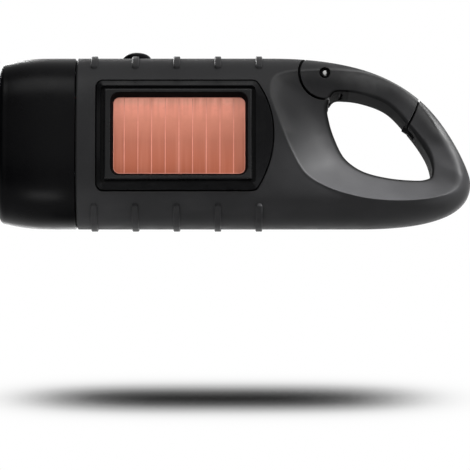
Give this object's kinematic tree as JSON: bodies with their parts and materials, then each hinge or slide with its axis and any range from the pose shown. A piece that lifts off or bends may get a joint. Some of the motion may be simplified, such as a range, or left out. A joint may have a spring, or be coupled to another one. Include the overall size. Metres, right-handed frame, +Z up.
{
  "type": "hand crank flashlight",
  "caption": "Hand crank flashlight with a solar panel in a raised frame, a carabiner tail with a spring gate and a folding crank on its back.",
  "frame": {"origin": "centre of the bounding box at the feet of the grip ribs, on which the light stands on its long edge", "axes": "+X from the head to the carabiner tail; +Y from the solar panel to the crank, the shortest extent; +Z up"},
  "size_m": [0.136, 0.0408, 0.0524],
  "materials": {
    "shell": "dark grey moulded plastic with a fine matte grain",
    "head": "black satin plastic",
    "frame": "black glossy plastic",
    "button": "black glossy plastic",
    "cell": "solar cell under a clear coat, copper coloured strips",
    "lens": "clear lens",
    "rubber": "black rubber",
    "mirror": "metallised reflector",
    "led": "clear lamp resin",
    "board": "green circuit board",
    "nylon": "natural nylon",
    "steel": "steel",
    "battery": "nickel plated cans",
    "brass": "brass",
    "copper": "enamelled copper winding",
    "red_lead": "red lead",
    "black_lead": "black lead"
  },
  "bodies": {
    "housing": {"front_shell": "shell", "back_shell": "shell", "head_bezel": "head", "lens": "lens", "lens_gasket": "rubber", "reflector": "mirror", "led_board": "board", "led_1": "led", "led_2": "led", "led_3": "led", "panel_frame": "frame", "solar_cell": "cell", "main_board": "board", "switch_body": "steel", "battery_cell_1": "battery", "battery_cell_2": "battery", "battery_cell_3": "battery", "battery_cradle": "shell", "gear_plate": "steel", "plate_screw_1": "steel", "plate_screw_2": "steel", "plate_screw_3": "steel", "dynamo_can": "steel", "stator_coil": "copper", "idler_pin_1": "steel", "idler_pin_2": "steel", "crank_bushing": "brass", "gate_pin": "steel", "gate_spring": "steel", "housing_screw_1": "steel", "housing_screw_2": "steel", "housing_screw_3": "steel", "housing_screw_4": "steel", "housing_screw_5": "steel", "lamp_lead_red": "red_lead", "lamp_lead_black": "black_lead", "solar_lead_red": "red_lead", "solar_lead_black": "black_lead", "dynamo_lead_red": "red_lead", "dynamo_lead_black": "black_lead", "battery_lead_red": "red_lead", "battery_lead_black": "black_lead"},
    "crank": {"crank_shaft": "steel", "drive_gear": "nylon", "crank_arm": "shell", "crank_screw": "steel", "knob_pin": "steel"},
    "knob_spindle": {"knob_spindle": "steel"},
    "knob": {"knob": "head"},
    "idler_1": {"idler_gear_1": "nylon"},
    "idler_2": {"idler_gear_2": "nylon"},
    "rotor": {"magnet_rotor": "steel", "rotor_pinion": "brass"},
    "button": {"button_cap": "button"},
    "gate": {"gate_arm": "shell"}
  },
  "joints": [
    {"name": "crank_spin", "type": "hinge", "parent": "housing", "child": "crank", "pos_m": [-0.005, 0.015, 0.0252], "axis": [0, 1, 0], "continuous": true},
    {"name": "knob_fold", "type": "hinge", "parent": "crank", "child": "knob_spindle", "pos_m": [-0.0385, 0.0162, 0.0252], "axis": [0, 0, 1], "range_deg": [0, 90]},
    {"name": "knob_spin", "type": "hinge", "parent": "knob_spindle", "child": "knob", "pos_m": [-0.028, 0.0162, 0.0252], "axis": [1, 0, 0], "continuous": true},
    {"name": "idler_1_spin", "type": "hinge", "parent": "housing", "child": "idler_1", "pos_m": [-0.027, 0.005, 0.0252], "axis": [0, 1, 0], "continuous": true},
    {"name": "idler_2_spin", "type": "hinge", "parent": "housing", "child": "idler_2", "pos_m": [-0.01307, 0.001, 0.01713], "axis": [0, 1, 0], "continuous": true},
    {"name": "rotor_spin", "type": "hinge", "parent": "housing", "child": "rotor", "pos_m": [-0.02496, -0.005, 0.01552], "axis": [0, 1, 0], "continuous": true},
    {"name": "button_press", "type": "slide", "parent": "housing", "child": "button", "axis": [0, 0, -1], "range_m": [0, 0.0008], "stiffness_N_per_m": 1500},
    {"name": "gate_swing", "type": "hinge", "parent": "housing", "child": "gate", "pos_m": [0.0258, 0, 0.0442], "axis": [0, 1, 0], "range_deg": [0, 24], "stiffness_Nm_per_rad": 0.1, "springref_deg": -8.59}
  ],
  "couplings": [
    {"joint": "idler_1_spin", "follows": "crank_spin", "ratio": -4},
    {"joint": "idler_2_spin", "follows": "crank_spin", "ratio": 14.4},
    {"joint": "rotor_spin", "follows": "crank_spin", "ratio": -43.2}
  ]
}
